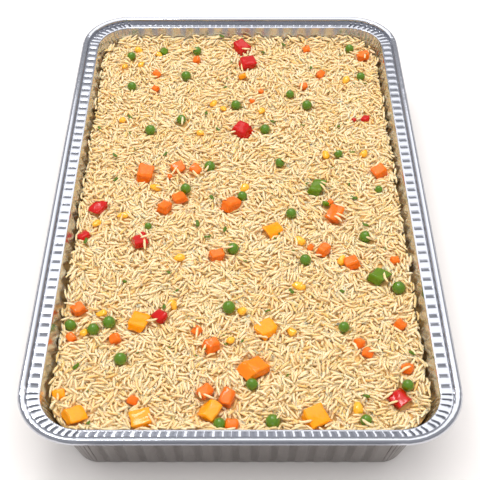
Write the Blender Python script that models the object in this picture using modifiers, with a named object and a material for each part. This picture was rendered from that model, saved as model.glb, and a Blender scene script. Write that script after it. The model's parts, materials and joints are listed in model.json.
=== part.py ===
"""Foil tray meal: a full-size aluminium foil catering tray filled with vegetable rice.

The tray stands on the floor with its long side along Y and its rim level. The origin is the
middle of its base. X runs across the tray, Y along it and Z up. Blender units are metres.
"""

import math
import random

import bmesh
import bpy
from mathutils import Euler, Matrix, Vector, noise

MM = 0.001

# Tray, from the standard full-size deep foil pan: 527 x 325 mm over the rim, 81 mm deep.
TRAY_LENGTH = 527 * MM
TRAY_WIDTH = 325 * MM
RIM_CORNER_RADIUS = 47.5 * MM
BASE_CORNER_RADIUS = 20 * MM
FLANGE_LEVEL = 76.8 * MM
BEAD_LEVEL = 80.3 * MM
BEAD_RADIUS = 2.0 * MM
FLANGE_WIDTH_AT_SIDES = 15.9 * MM
FLANGE_WIDTH_AT_ENDS = 14.5 * MM
BASE_INSET_AT_SIDES = 33.5 * MM
BASE_INSET_AT_ENDS = 33.5 * MM
FOIL = 0.7 * MM
FLUTE_DEPTH = 0.8 * MM
CRIMP_RISE = 0.35 * MM
CORNER_STEPS = 8
END_STEPS = 28
SIDE_STEPS = 52

# Rice
RICE_LEVEL = 64.0 * MM
RICE_GAP_TO_FOIL = 0.5 * MM
RICE_CELLS_ACROSS = 27
RICE_CELLS_ALONG = 47
RICE_EDGE_LEVEL = 57.5 * MM
SIDE_FALL = 5.0 * MM
END_FALL = 1.5 * MM
FALL_WIDTH = 15 * MM
SWELL = 1.1 * MM
GRAIN_BUMP = 3.6 * MM
GRAIN_PITCH = 5.3 * MM
POCKET_GAP = 0.4 * MM
SMALL_PIECE_SINK = 0.22
SEED = 11

# Vegetables. Each place is x and y from the middle of the tray in mm, then the piece's size in
# mm and, for cut pieces, its turn in degrees.
PEA_LIFT = 1.6 * MM
PEAS = (
    (-55, 180, 10.5), (-109, 163, 9.5), (-57, 110, 10), (-86, 94, 10.5), (-4, 132, 10),
    (66, 132, 10), (24, 96, 10), (-28, 42, 10.5), (-49, 12, 10), (-6, -62, 10.5),
    (108, -48, 11), (55, -75, 10), (130, -106, 11), (-9, -127, 11), (-116, -149, 10),
    (-104, -142, 10.5), (-92, -178, 10.5), (126, -203, 9.5), (24, -235, 11),
)
CORN = (
    (80, 59, 12, 20), (-76, 14, 12, 80), (-102, -21, 12, 95), (51, -52, 12, 60),
    (48, -104, 12, 70), (-111, -133, 11, 100), (40, -151, 11, 40), (87, -223, 12, 5),
)
CARROT = (
    (128, 215, 12, 15), (-87, 33, 15, 80), (-57, 40, 11.5, 30), (-54, 0, 12, 25),
    (-67, -11, 11.5, 60), (-8, -8, 14, 40), (128, 35, 13, 30), (84, -21, 14, 62),
    (-20, -69, 11, 20), (71, -63, 11, 50), (94, -78, 11, 15), (-130, -128, 11, 40),
    (-22, -165, 11, 35), (-26, -208, 12, 50), (-10, -214, 12, 70),
)
YELLOW_PEPPER = (
    (28, -40, 14, 35), (-81, -142, 15, 75), (20, -150, 14, 40), (-121, -229, 15, 30),
    (-72, -233, 14, 15), (-22, -226, 14, 60), (56, -231, 17, 25),
)
ORANGE_PEPPER = ((11, -186, 19, 35),)
RED_PEPPER = (
    (2, 229, 15, 130), (8, 202, 15, 20), (2, 96, 17, 60), (-125, -12, 13, 55),
    (-86, -54, 13, 110), (118, -215, 14, 125),
)
GREEN_PEPPER = ((69, 13, 15, 65), (116, -93, 16, 45))

# Pieces too small to lift off as their own thing, fused to the rice: x, y and size in mm.
SMALL_PIECES = (
    (-85, 184, 8), (-45, 208, 7), (82, 182, 8), (64, 162, 7), (70, 227, 7), (3, 180, 9),
    (107, 171, 9), (115, 226, 8), (-45, 222, 8), (-112, 221, 8), (122, 112, 9), (50, 149, 8),
    (-26, 134, 8), (-114, 110, 7), (92, 59, 7), (116, 60, 7), (37, 46, 8), (-41, 37, 10),
    (4, 12, 8), (2, 1, 9), (77, -7, 7), (45, -20, 8), (-125, -33, 9), (-37, -33, 7),
    (-51, -73, 8), (130, -75, 7), (-64, -136, 9), (82, -148, 8), (93, -163, 8),
    (9, -202, 8),
)


def material(name, colour, roughness, metallic=0.0):
    """A plain finish for one kind of piece."""
    made = bpy.data.materials.new(name)
    made.use_nodes = True
    shader = made.node_tree.nodes["Principled BSDF"]
    shader.inputs["Base Color"].default_value = (*colour, 1.0)
    shader.inputs["Roughness"].default_value = roughness
    shader.inputs["Metallic"].default_value = metallic
    return made


def collection(name):
    """A new collection in the scene."""
    made = bpy.data.collections.new(name)
    bpy.context.scene.collection.children.link(made)
    return made


def add_object(name, mesh, group, finish=None):
    """Turns a bmesh into an object of the given collection."""
    data = bpy.data.meshes.new(name)
    mesh.to_mesh(data)
    mesh.free()
    if finish:
        data.materials.append(finish)
    made = bpy.data.objects.new(name, data)
    group.objects.link(made)
    return made


def outline(half_x, half_y, radius):
    """(point, outward direction) pairs round a rounded rectangle, anticlockwise from above.

    Each stretch has the same number of points whatever the size, so rings of unlike size loft
    into one another.
    """
    corners = ((1, 1), (-1, 1), (-1, -1), (1, -1))
    pairs = []
    for number, (sign_x, sign_y) in enumerate(corners):
        centre = Vector((sign_x * (half_x - radius), sign_y * (half_y - radius)))
        for step in range(CORNER_STEPS + 1):
            angle = math.radians(90 * number + 90 * step / CORNER_STEPS)
            outward = Vector((math.cos(angle), math.sin(angle)))
            pairs.append((centre + radius * outward, outward))
        next_x, next_y = corners[(number + 1) % 4]
        end = Vector((next_x * (half_x - radius), next_y * (half_y - radius))) + radius * outward
        start = pairs[-1][0].copy()
        steps = SIDE_STEPS if number % 2 else END_STEPS
        for step in range(1, steps):
            pairs.append((start.lerp(end, step / steps), outward))
    return pairs


def tray_ring(inset_x, inset_y, radius, level, flute=0.0, crimp=0.0):
    """One ring of the tray. Every other point stands out by flute and up by crimp."""
    ring = []
    pairs = outline(TRAY_WIDTH / 2 - inset_x, TRAY_LENGTH / 2 - inset_y, radius)
    for number, (point, outward) in enumerate(pairs):
        side = 1 if number % 2 else -1
        place = point + outward * side * flute
        ring.append(Vector((place.x, place.y, level + side * crimp)))
    return ring


def loft(rings):
    """A closed mesh through a stack of rings, with both ends capped."""
    mesh = bmesh.new()
    loops = [[mesh.verts.new(point) for point in ring] for ring in rings]
    for low, high in zip(loops, loops[1:]):
        for i, corner in enumerate(low):
            j = (i + 1) % len(low)
            mesh.faces.new((corner, low[j], high[j], high[i]))
    mesh.faces.new(list(reversed(loops[0])))
    mesh.faces.new(loops[-1])
    return mesh


def rim_ring(inset, level, crimp=0.0):
    """A ring of the rim, the same distance in from the edge all round."""
    return tray_ring(inset, inset, RIM_CORNER_RADIUS - inset, level, crimp=crimp)


def wall_ring(share, level, inwards, flute):
    """A ring of the wall, from 0 at the base to 1 at the mouth, moved inwards by the foil."""
    mouth_radius = RIM_CORNER_RADIUS - FLANGE_WIDTH_AT_ENDS
    inset_x = BASE_INSET_AT_SIDES + share * (FLANGE_WIDTH_AT_SIDES - BASE_INSET_AT_SIDES)
    inset_y = BASE_INSET_AT_ENDS + share * (FLANGE_WIDTH_AT_ENDS - BASE_INSET_AT_ENDS)
    radius = BASE_CORNER_RADIUS + share * (mouth_radius - BASE_CORNER_RADIUS)
    return tray_ring(inset_x + inwards, inset_y + inwards, radius - inwards, level, flute)


def flange_ring(inwards, level, crimp):
    """The ring where the crimped flange meets the mouth."""
    inset_x = FLANGE_WIDTH_AT_SIDES - inwards
    inset_y = FLANGE_WIDTH_AT_ENDS - inwards
    return tray_ring(inset_x, inset_y, RIM_CORNER_RADIUS - inset_y, level, crimp=crimp)


def make_tray(group, finish):
    """The foil tray: fluted walls, a crimped flange and a rolled bead round its edge."""
    groove = 2.4 * BEAD_RADIUS
    base_edge = 4.5 * MM
    shoulder = 3.0 * MM
    rings = [
        wall_ring(0.0, 0.0, 2.2 * MM, 0.0),
        wall_ring(base_edge / FLANGE_LEVEL, base_edge, 0.0, FLUTE_DEPTH),
        wall_ring(0.97, FLANGE_LEVEL - shoulder, -FOIL, FLUTE_DEPTH),
        rim_ring(groove, FLANGE_LEVEL),
        rim_ring(BEAD_RADIUS, BEAD_LEVEL - BEAD_RADIUS),
        rim_ring(0.0, BEAD_LEVEL),
        rim_ring(BEAD_RADIUS, BEAD_LEVEL + BEAD_RADIUS),
        rim_ring(groove, FLANGE_LEVEL + 2.0 * FOIL),
        rim_ring(groove + 2.6 * MM, FLANGE_LEVEL + 2.4 * FOIL, CRIMP_RISE),
        flange_ring(1.2 * MM, FLANGE_LEVEL + FOIL, CRIMP_RISE),
        wall_ring(0.97, FLANGE_LEVEL - shoulder, 0.0, FLUTE_DEPTH),
        wall_ring(base_edge / FLANGE_LEVEL, base_edge + FOIL, FOIL, FLUTE_DEPTH),
        wall_ring(0.0, FOIL, 2.6 * MM, 0.0),
    ]
    return add_object("tray", loft(rings), group, finish)


def cavity_half(level):
    """Half the clear width and length inside the flutes at a height, and the corner radius."""
    share = level / FLANGE_LEVEL
    clear = FOIL + FLUTE_DEPTH + RICE_GAP_TO_FOIL
    inset_x = BASE_INSET_AT_SIDES + share * (FLANGE_WIDTH_AT_SIDES - BASE_INSET_AT_SIDES)
    inset_y = BASE_INSET_AT_ENDS + share * (FLANGE_WIDTH_AT_ENDS - BASE_INSET_AT_ENDS)
    mouth_radius = RIM_CORNER_RADIUS - FLANGE_WIDTH_AT_ENDS
    radius = BASE_CORNER_RADIUS + share * (mouth_radius - BASE_CORNER_RADIUS)
    return TRAY_WIDTH / 2 - inset_x - clear, TRAY_LENGTH / 2 - inset_y - clear, radius


def heap_level(x, y):
    """Height of the smooth heap: soft swells, and a fall where it meets the walls."""
    half_x, half_y, _ = cavity_half(RICE_LEVEL)
    side = max(0.0, 1 - (half_x - abs(x)) / FALL_WIDTH)
    end = max(0.0, 1 - (half_y - abs(y)) / FALL_WIDTH)
    swell = noise.noise(Vector((x * 16, y * 16, SEED)))
    fall = SIDE_FALL * side * side + END_FALL * end * end
    return RICE_LEVEL + SWELL * swell - fall


def rice_height(x, y):
    """Top of the rice: the heap with bumps the size of its grains."""
    bump = noise.noise(Vector((x / GRAIN_PITCH, y / GRAIN_PITCH, SEED + 0.5)))
    return heap_level(x, y) + GRAIN_BUMP * bump


def into_corners(x, y, half_x, half_y, radius):
    """Pulls a point of a rectangle in, so that the rectangle's corners become round."""
    reach = max(abs(x) / half_x, abs(y) / half_y)
    if reach == 0:
        return x, y
    edge = Vector((abs(x), abs(y))) / reach
    centre = Vector((half_x - radius, half_y - radius))
    if edge.x <= centre.x or edge.y <= centre.y:
        return x, y
    along = edge.dot(centre)
    square = edge.length_squared
    root = math.sqrt(along * along - square * (centre.length_squared - radius * radius))
    pull = 1 - (1 - (along + root) / square) * reach**4
    return x * pull, y * pull


def make_rice(group, finish):
    """The heap of rice: a block that fills the tray, with a bumpy top."""
    half_x, half_y, radius = cavity_half(RICE_EDGE_LEVEL)
    foot_level = FOIL + RICE_GAP_TO_FOIL
    foot_x, foot_y, _ = cavity_half(5 * MM)
    foot_x -= 2.5 * MM
    foot_y -= 2.5 * MM
    mesh = bmesh.new()
    bmesh.ops.create_grid(
        mesh, x_segments=RICE_CELLS_ACROSS, y_segments=RICE_CELLS_ALONG, size=1.0
    )
    for vertex in mesh.verts:
        x, y = vertex.co.x * half_x, vertex.co.y * half_y
        x, y = into_corners(x, y, half_x, half_y, radius)
        vertex.co = (x, y, rice_height(x, y))
    rim = [edge for edge in mesh.edges if edge.is_boundary]
    extruded = bmesh.ops.extrude_edge_only(mesh, edges=rim)["geom"]
    foot = [item for item in extruded if isinstance(item, bmesh.types.BMVert)]
    for vertex in foot:
        x, y = vertex.co.x * foot_x / half_x, vertex.co.y * foot_y / half_y
        vertex.co = (x, y, foot_level)
    mesh.edges.ensure_lookup_table()
    open_edges = [edge for edge in mesh.edges if edge.is_boundary]
    bmesh.ops.contextual_create(mesh, geom=open_edges)
    bmesh.ops.recalc_face_normals(mesh, faces=mesh.faces)
    return add_object("rice", mesh, group, finish)


def pea_mesh(size):
    """A round pea."""
    mesh = bmesh.new()
    bmesh.ops.create_uvsphere(mesh, u_segments=8, v_segments=5, radius=size * MM / 2)
    return mesh


def corn_mesh(size):
    """A kernel of corn: a flat drop, broad at the crown and narrow at the tip."""
    mesh = bmesh.new()
    bmesh.ops.create_uvsphere(mesh, u_segments=8, v_segments=5, radius=0.5)
    for vertex in mesh.verts:
        taper = 1.0 - 0.45 * (0.5 - vertex.co.z)
        vertex.co.x *= taper
        vertex.co.y *= taper
    bmesh.ops.rotate(mesh, verts=mesh.verts, matrix=Matrix.Rotation(math.radians(90), 3, "X"))
    bmesh.ops.scale(mesh, verts=mesh.verts, vec=Vector((0.88, 1.0, 0.62)) * size * MM)
    return mesh


def cut_mesh(size, draw, width=0.85, height=0.72, uneven=0.35):
    """A knife-cut chunk: a flat-sided block, narrower at one end and leaning."""
    taper_x, taper_y, lean_x, lean_y = [draw.uniform(-uneven, uneven) for _ in range(4)]
    mesh = bmesh.new()
    bmesh.ops.create_cube(mesh, size=1.0)
    for vertex in mesh.verts:
        x, y, z = vertex.co
        vertex.co.x = x * (1 + taper_x * z) + lean_x * z / 2
        vertex.co.y = y * (1 + taper_y * z) + lean_y * z / 2
    bmesh.ops.scale(mesh, verts=mesh.verts, vec=Vector((1.0, width, height)) * size * MM)
    return mesh


def soften(piece, width):
    """Breaks a cut chunk's sharp edges."""
    bevel = piece.modifiers.new("soft edges", "BEVEL")
    bevel.width = width
    bevel.segments = 1
    bevel.limit_method = "NONE"


def make_vegetables(group, cutters, finishes):
    """Every vegetable large enough to be its own piece, each in a pocket of the rice."""
    draw = random.Random(SEED)
    kinds = (
        ("pea", PEAS, PEA_LIFT),
        ("corn", CORN, 1.2 * MM),
        ("carrot", CARROT, 1.2 * MM),
        ("yellow_pepper", YELLOW_PEPPER, 1.2 * MM),
        ("orange_pepper", ORANGE_PEPPER, 1.0 * MM),
        ("red_pepper", RED_PEPPER, 1.6 * MM),
        ("green_pepper", GREEN_PEPPER, 1.6 * MM),
    )
    for kind, places, lift in kinds:
        for number, (x, y, size, *turn) in enumerate(places, 1):
            tilt = math.radians(14)
            if kind == "pea":
                mesh, thickness = pea_mesh(size), size
            elif kind == "corn":
                mesh, thickness = corn_mesh(size), 0.62 * size
            elif kind == "carrot":
                mesh, thickness = cut_mesh(size, draw), 0.72 * size
            else:
                mesh, thickness = cut_mesh(size, draw, 0.88, 0.45, 0.5), 0.45 * size
            piece = add_object(f"{kind}_{number:02d}", mesh, group, finishes[kind])
            level = heap_level(x * MM, y * MM)
            piece.location = (x * MM, y * MM, level + lift)
            spin = math.radians(turn[0]) if turn else draw.uniform(0, math.tau)
            lean = [draw.uniform(-tilt, tilt) for _ in range(2)]
            piece.rotation_euler = Euler((*lean, spin))
            cut_pocket(piece, cutters, 1 + 2 * POCKET_GAP / (thickness * MM))
            if kind not in ("pea", "corn"):
                soften(piece, 0.13 * thickness * MM)


def cut_pocket(piece, cutters, growth):
    """A grown copy of a vegetable, which cuts its pocket into the rice."""
    cutter = piece.copy()
    cutter.name = piece.name + "_pocket"
    cutter.data = piece.data.copy()
    cutter.scale = (growth, growth, growth)
    cutter.hide_render = True
    cutter.display_type = "WIRE"
    cutters.objects.link(cutter)


def fuse_small_pieces(rice, group):
    """Joins the small vegetable pieces to the top of the rice with one Boolean union."""
    draw = random.Random(SEED + 1)
    for number, (x, y, size) in enumerate(SMALL_PIECES):
        mesh = bmesh.new()
        bmesh.ops.create_cube(mesh, size=size * MM)
        piece = add_object(f"small_{number:02d}", mesh, group)
        sunk = SMALL_PIECE_SINK * size * MM
        piece.location = (x * MM, y * MM, heap_level(x * MM, y * MM) - sunk)
        piece.rotation_euler = [draw.uniform(0, math.tau) for _ in range(3)]
    join = rice.modifiers.new("small pieces", "BOOLEAN")
    join.operation = "UNION"
    join.operand_type = "COLLECTION"
    join.collection = group
    apply_modifiers(rice)
    for piece in list(group.objects):
        bpy.data.objects.remove(piece)
    bpy.data.collections.remove(group)


def apply_modifiers(item):
    """Replaces an object's mesh with the mesh that its modifiers make."""
    bpy.context.view_layer.update()
    graph = bpy.context.evaluated_depsgraph_get()
    made = bpy.data.meshes.new_from_object(item.evaluated_get(graph))
    item.modifiers.clear()
    item.data = made


def main():
    for item in list(bpy.data.objects):
        bpy.data.objects.remove(item)
    parts = collection("foil_tray_meal")
    cutters = collection("pocket_cutters")
    small = collection("small_pieces")
    finishes = {
        "foil": material("foil", (0.80, 0.81, 0.83), 0.28, 1.0),
        "rice": material("rice", (0.86, 0.71, 0.45), 0.55),
        "pea": material("pea", (0.10, 0.32, 0.02), 0.30),
        "corn": material("corn", (0.95, 0.62, 0.04), 0.35),
        "carrot": material("carrot", (0.92, 0.24, 0.02), 0.40),
        "yellow_pepper": material("yellow_pepper", (0.95, 0.50, 0.02), 0.30),
        "orange_pepper": material("orange_pepper", (0.93, 0.33, 0.02), 0.30),
        "red_pepper": material("red_pepper", (0.70, 0.02, 0.01), 0.25),
        "green_pepper": material("green_pepper", (0.12, 0.36, 0.03), 0.25),
    }
    make_tray(parts, finishes["foil"])
    rice = make_rice(parts, finishes["rice"])
    fuse_small_pieces(rice, small)
    make_vegetables(parts, cutters, finishes)
    pockets = rice.modifiers.new("pockets", "BOOLEAN")
    pockets.operation = "DIFFERENCE"
    pockets.operand_type = "COLLECTION"
    pockets.collection = cutters


main()
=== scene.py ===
"""Foil tray meal: an aluminium foil catering tray filled with vegetable rice.

Each operator builds one piece, or one group of like pieces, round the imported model, and the
panel in the 3D view's sidebar lists them. Lengths are in metres, with +Z up.
"""

import json
import math
import random
from functools import lru_cache

import bmesh
import bpy
import numpy as np
from bpy.props import FloatProperty, FloatVectorProperty, IntProperty, PointerProperty
from mathutils import Euler, Matrix, Vector, noise
from mathutils.bvhtree import BVHTree

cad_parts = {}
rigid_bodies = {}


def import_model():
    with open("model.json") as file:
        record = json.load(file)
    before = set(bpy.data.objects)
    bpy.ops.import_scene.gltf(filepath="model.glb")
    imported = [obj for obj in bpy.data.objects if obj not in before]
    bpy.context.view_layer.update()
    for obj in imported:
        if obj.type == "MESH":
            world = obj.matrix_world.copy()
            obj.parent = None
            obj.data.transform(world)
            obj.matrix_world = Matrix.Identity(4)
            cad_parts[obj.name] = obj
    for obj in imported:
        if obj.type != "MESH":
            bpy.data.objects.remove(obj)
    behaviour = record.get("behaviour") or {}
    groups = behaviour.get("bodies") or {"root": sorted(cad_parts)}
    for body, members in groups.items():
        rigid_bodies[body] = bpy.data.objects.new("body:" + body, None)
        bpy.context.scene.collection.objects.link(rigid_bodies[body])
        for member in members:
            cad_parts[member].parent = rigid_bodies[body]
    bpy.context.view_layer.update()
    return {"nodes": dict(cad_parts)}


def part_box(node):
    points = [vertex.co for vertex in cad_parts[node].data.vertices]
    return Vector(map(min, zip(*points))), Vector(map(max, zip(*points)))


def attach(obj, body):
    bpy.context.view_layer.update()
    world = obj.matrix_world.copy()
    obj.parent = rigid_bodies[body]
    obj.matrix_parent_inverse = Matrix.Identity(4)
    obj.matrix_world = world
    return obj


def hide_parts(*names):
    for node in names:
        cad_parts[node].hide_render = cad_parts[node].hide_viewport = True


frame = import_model()

bl_info = {
    "name": "Foil tray meal",
    "version": (1, 0, 0),
    "blender": (4, 5, 0),
    "location": "3D View > Sidebar > Tray meal",
    "description": "Builds a foil catering tray of vegetable rice",
    "category": "Object",
}

MM = 0.001
TRAY_LOW, TRAY_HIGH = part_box("tray")

# Vegetable pieces too small for a solid of their own: x, y from the tray's middle, size in mm.
SMALL_PEAS = (
    (115, 226, 9), (-45, 222, 9), (50, 149, 8.5), (92, 59, 8), (37, 46, 9), (2, 1, 9),
    (45, -20, 9.5), (82, -148, 9), (9, -202, 9.5), (-135, -143, 9.5), (-80, -34, 6.5),
    (125, 11, 7), (123, 179, 8.5), (-15, -237, 9.5), (92, -234, 9), (-113, 212, 9),
)
SMALL_CORN = (
    (107, 171, 10), (-26, 134, 10), (-114, 110, 9), (116, 60, 9), (4, 12, 10), (-125, -33, 10),
    (-51, -73, 10), (1, -130, 10), (-123, -151, 9), (-7, -160, 9), (86, -74, 10),
    (-54, -124, 10), (21, 124, 9), (-16, 126, 9), (-38, 90, 8), (-85, 217, 9), (-106, 223, 9),
    (-119, 198, 8), (-102, 199, 8),
)
SMALL_CARROT = (
    (-85, 184, 8), (-45, 208, 8), (82, 182, 9), (64, 162, 8), (70, 227, 8), (-41, 37, 11),
    (130, -75, 8), (93, -163, 9), (-85, 160, 7), (-34, -150, 8), (-133, -155, 8),
    (-98, -158, 9), (-6, -237, 10), (-80, -216, 8), (99, -172, 9), (128, -186, 9),
    (127, -144, 9), (12, 139, 6), (21, 155, 5), (80, -6, 6), (60, -59, 6), (-64, 28, 5),
)
SMALL_RED = ((122, 112, 9), (-64, -136, 13), (-135, -45, 11), (111, 111, 5), (-84, -44, 6))
SMALL_YELLOW = ((3, 180, 10), (-135, -210, 10))
SMALL_GREEN = ((77, -7, 8), (-80, 224, 9))
HERBS = (
    (-19, 243), (46, 233), (24, 219), (73, 192), (126, 169), (-33, 117), (-21, 95), (-135, 94),
    (-116, 54), (-107, 114), (-113, 23), (-25, 1), (-37, -33), (-28, -49), (-132, -54),
    (-59, -90), (-61, -128), (-52, -110), (-125, -187), (-110, -238), (94, 100), (32, 108),
    (105, 62), (102, 0), (109, -36), (42, -111), (83, -111), (22, -131), (133, -173),
    (94, -214), (-13, -40), (60, 20), (-95, -100), (-15, 160), (60, 100), (-70, 60),
)


def linear(hex_colour):
    """An sRGB hex colour as linear red, green and blue."""
    parts = [int(hex_colour[i:i + 2], 16) / 255 for i in (1, 3, 5)]
    return tuple(c / 12.92 if c <= 0.04045 else ((c + 0.055) / 1.055) ** 2.4 for c in parts)


def colour(name, hex_colour, description):
    """A colour property with an sRGB hex default."""
    return FloatVectorProperty(
        name=name, description=description, subtype="COLOR", size=3, min=0.0, max=1.0,
        default=linear(hex_colour),
    )


def length(name, millimetres, description):
    """A length property with its default in millimetres."""
    return FloatProperty(
        name=name, description=description, unit="LENGTH", default=millimetres * MM, min=0.0,
        precision=5,
    )


def power(name, watts, description):
    """The power of a light with its default in watts."""
    return FloatProperty(
        name=name, description=description, unit="POWER", default=watts, min=0.0
    )


class TraySizes(bpy.types.PropertyGroup):
    """Sizes of the foil tray."""

    width: length("Width", (TRAY_HIGH.x - TRAY_LOW.x) / MM, "Width over the rim")
    length: length("Length", (TRAY_HIGH.y - TRAY_LOW.y) / MM, "Length over the rim")
    rim_radius: length("Rim corner radius", 47.5, "Radius of the rim's corners")
    base_radius: length("Base corner radius", 20, "Radius of the base's corners")
    mouth_radius: length("Mouth corner radius", 33, "Radius of the corners of the opening")
    side_flange: length("Flange at sides", 15.9, "From the edge in to the mouth, long sides")
    end_flange: length("Flange at ends", 14.5, "From the edge in to the mouth, short sides")
    base_inset: length("Base inset", 33.5, "How far in from the rim's edge the base stands")
    flange_level: length("Flange level", 76.8, "Height where the wall meets the flange")
    crimp_depth: length("Crimp depth", 0.65, "Depth of a crimp pressed into the flange")
    flute_depth: length("Flute depth", 0.9, "How far the wall's flutes stand in and out")
    flute_pitch: length("Flute pitch", 15, "From one flute to the next")
    foil: length("Foil", 0.3, "Thickness of the foil, drawn thicker than the real 0.1 mm")


class RiceSizes(bpy.types.PropertyGroup):
    """Sizes of the heap's grains."""

    grain: length("Grain length", 10.4, "Length of a cooked long grain")
    thickness: length("Grain thickness", 2.3, "Thickness of a cooked long grain")
    layer: length("Layer", 3.3, "Depth of loose grains over the core")
    grains: IntProperty(name="Grains", description="Most grains", default=24000, min=100)
    bed: IntProperty(name="Bed", description="How many lie in the packed bed", default=13000)
    seed: IntProperty(name="Seed", description="Seed of the grains' places", default=5)


class FoodColours(bpy.types.PropertyGroup):
    """Colours of the foods."""

    pale_grain: colour("Pale grain", "#F3DBB3", "The palest grains")
    gold_grain: colour("Golden grain", "#E8C07A", "The grains that took most colour")
    # The heap's golden colour is painted shade for the grains deep in the gaps.
    heap: colour("Heap", "#F0C074", "Between the grains")
    pea: colour("Pea", "#527800", "Skin of a cooked pea")
    corn: colour("Corn", "#FAB412", "Kernel of sweetcorn")
    carrot: colour("Carrot", "#FA6E0C", "Carrot dice")
    red: colour("Red pepper", "#BE0E04", "Skin of a red pepper")
    yellow: colour("Yellow pepper", "#FA9800", "Skin of a yellow pepper")
    orange: colour("Orange pepper", "#F4800A", "Skin of an orange pepper")
    green: colour("Green pepper", "#5C7A02", "Skin of a green pepper")
    herb: colour("Herb", "#4E6A00", "Chopped coriander")


class StageLight(bpy.types.PropertyGroup):
    """The studio round the tray."""

    softbox: power("Softbox", 8.1, "Power of the long softbox behind the tray")
    fill: power("Fill", 29.5, "Power of the diffuse light overhead")
    front: power("Front fill", 7.0, "Power of the diffuse light over the camera")
    key: power("Key", 3.0, "Power of the small light that gives highlights")
    room: FloatProperty(
        name="Room", description="Brightness of the grey studio all round", default=0.42, min=0.0
    )
    lens: FloatProperty(
        name="Lens", description="Focal length", default=73.85, unit="CAMERA", min=1.0
    )
    distance: length("Distance", 635.7, "From the tray's middle back to the camera")
    height: length("Height", 675.0, "From the table up to the camera")
    tilt: FloatProperty(
        name="Tilt", description="How far the camera looks down", subtype="ANGLE",
        default=math.radians(46.23),
    )


class MealSettings(bpy.types.PropertyGroup):
    """All settings of the tray meal."""

    tray: PointerProperty(type=TraySizes)
    rice: PointerProperty(type=RiceSizes)
    food: PointerProperty(type=FoodColours)
    stage: PointerProperty(type=StageLight)


def fill_sockets(tree, node, inputs):
    """Sets a node's inputs, each to a value or to a link from another node's output."""
    for name, value in inputs.items():
        if isinstance(value, bpy.types.NodeSocket):
            tree.links.new(value, node.inputs[name])
        else:
            node.inputs[name].default_value = value


def add_node(tree, kind, inputs=None, output=0, **settings):
    """Adds a shader node with its settings and links, and gives the output to go on from."""
    node = tree.nodes.new("ShaderNode" + kind)
    for name, value in settings.items():
        setattr(node, name, value)
    fill_sockets(tree, node, inputs or {})
    return node.outputs[output]


def new_material(name):
    """A new material with its node tree, its Principled shader and the object's coordinates."""
    made = bpy.data.materials.new(name)
    made.use_nodes = True
    tree = made.node_tree
    return made, tree, tree.nodes["Principled BSDF"], add_node(tree, "TexCoord", output="Object")


def opaque(rgb):
    """A colour with full alpha."""
    return (*rgb, 1.0)


def shade(rgb, factor):
    """A colour made darker or lighter, with full alpha."""
    return (*(min(1.0, c * factor) for c in rgb), 1.0)


def foil_material(name, bright, dull_and_shade):
    """Cold-rolled aluminium foil, pressed in a die.

    The eye sees a clear mirror that is broken up by soft dents and fine rolling haze. It is rougher
    where the die pressed it, and its colour is darkened there as painted shade, as it is in the
    flutes' recesses and on and under the bead. Darker streaks down the drawn walls are a painted
    reflection.
    """
    made, tree, shader, place = new_material(name)
    level = add_node(tree, "SeparateXYZ", {"Vector": place}, output="Z")
    # The walls were drawn, up to where they meet the flange.
    drawn = add_node(tree, "MapRange", {
        "Value": level, "From Min": 0.074, "From Max": 0.078, "To Min": 1.0, "To Max": 0.0,
    })
    # The pressed attribute roughens the foil and darkens its colour: the roughness is the die's,
    # the darker colour is painted shade.
    pressed = add_node(tree, "Attribute", output="Fac", attribute_name="pressed")
    # Darker streaks of 6 mm run down the walls: a painted reflection of the bands in the flutes.
    drawing = add_node(tree, "Mapping", {"Vector": place, "Scale": (1.0, 1.0, 0.06)})
    reflection_streak_noise = add_node(tree, "TexNoise", {"Vector": drawing, "Scale": 170.0, "Detail": 2.0})
    painted_reflection_streak = add_node(tree, "MapRange", {
        "Value": reflection_streak_noise, "From Min": 0.36, "From Max": 0.64, "To Max": 0.16,
    })
    # The colour is mixed towards the darker one by the painted reflection streaks and by the
    # pressed attribute's painted shade.
    dulled_and_shaded = add_node(
        tree, "Math", {0: painted_reflection_streak, 1: drawn, 2: pressed}, operation="MULTIPLY_ADD",
        use_clamp=True,
    )
    blend = add_node(
        tree, "Mix",
        {"Factor": dulled_and_shaded, "A": opaque(linear(bright)), "B": opaque(linear(dull_and_shade))},
        output="Result", data_type="RGBA",
    )
    # Dents from handling, 12 mm across, and crinkles of 2.5 mm.
    dents = add_node(tree, "TexNoise", {"Vector": place, "Scale": 80.0, "Detail": 2.0})
    crinkle = add_node(tree, "TexNoise", {"Vector": place, "Scale": 400.0, "Detail": 3.0})
    haze = add_node(tree, "MapRange", {"Value": crinkle, "To Min": 0.08, "To Max": 0.15})
    walls = add_node(tree, "Math", {0: drawn, 1: 0.12, 2: haze}, operation="MULTIPLY_ADD")
    rough = add_node(tree, "Math", {0: pressed, 1: 0.3, 2: walls}, operation="MULTIPLY_ADD")
    soft = add_node(tree, "Bump", {"Height": dents, "Strength": 0.14, "Distance": 0.0008})
    fine = add_node(
        tree, "Bump",
        {"Height": crinkle, "Strength": 0.08, "Distance": 0.0003, "Normal": soft},
    )
    fill_sockets(tree, shader, {
        "Base Color": blend, "Metallic": 1.0, "Roughness": rough, "Normal": fine,
    })
    return made


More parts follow.
